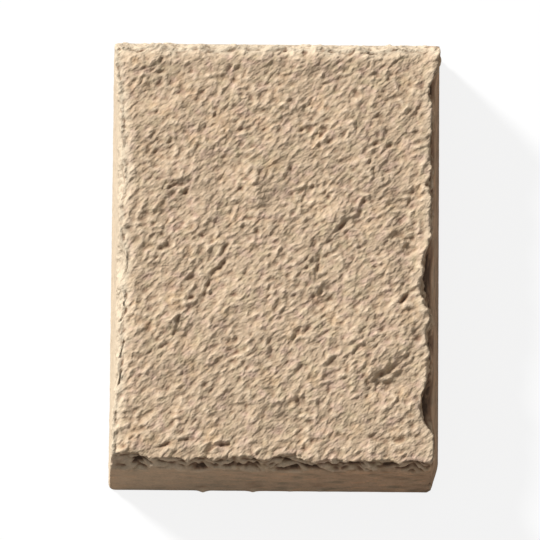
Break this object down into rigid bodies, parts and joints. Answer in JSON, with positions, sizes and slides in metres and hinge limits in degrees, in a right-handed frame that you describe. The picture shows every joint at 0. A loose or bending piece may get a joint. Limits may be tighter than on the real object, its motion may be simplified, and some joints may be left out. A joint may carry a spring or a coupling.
{
  "type": "trim stone",
  "caption": "Rectangular cast concrete trim stone with smooth drafted sides, a pitched margin and a rough rock face in warm tan.",
  "frame": {"origin": "middle of the flat back", "axes": "+Z out of the back through the rock face, +Y along the longer side, +X across the width"},
  "size_m": [0.149, 0.204, 0.042],
  "materials": {
    "cast_stone": "rough"
  },
  "bodies": {
    "root": {"trim_stone": "cast_stone"}
  },
  "joints": []
}
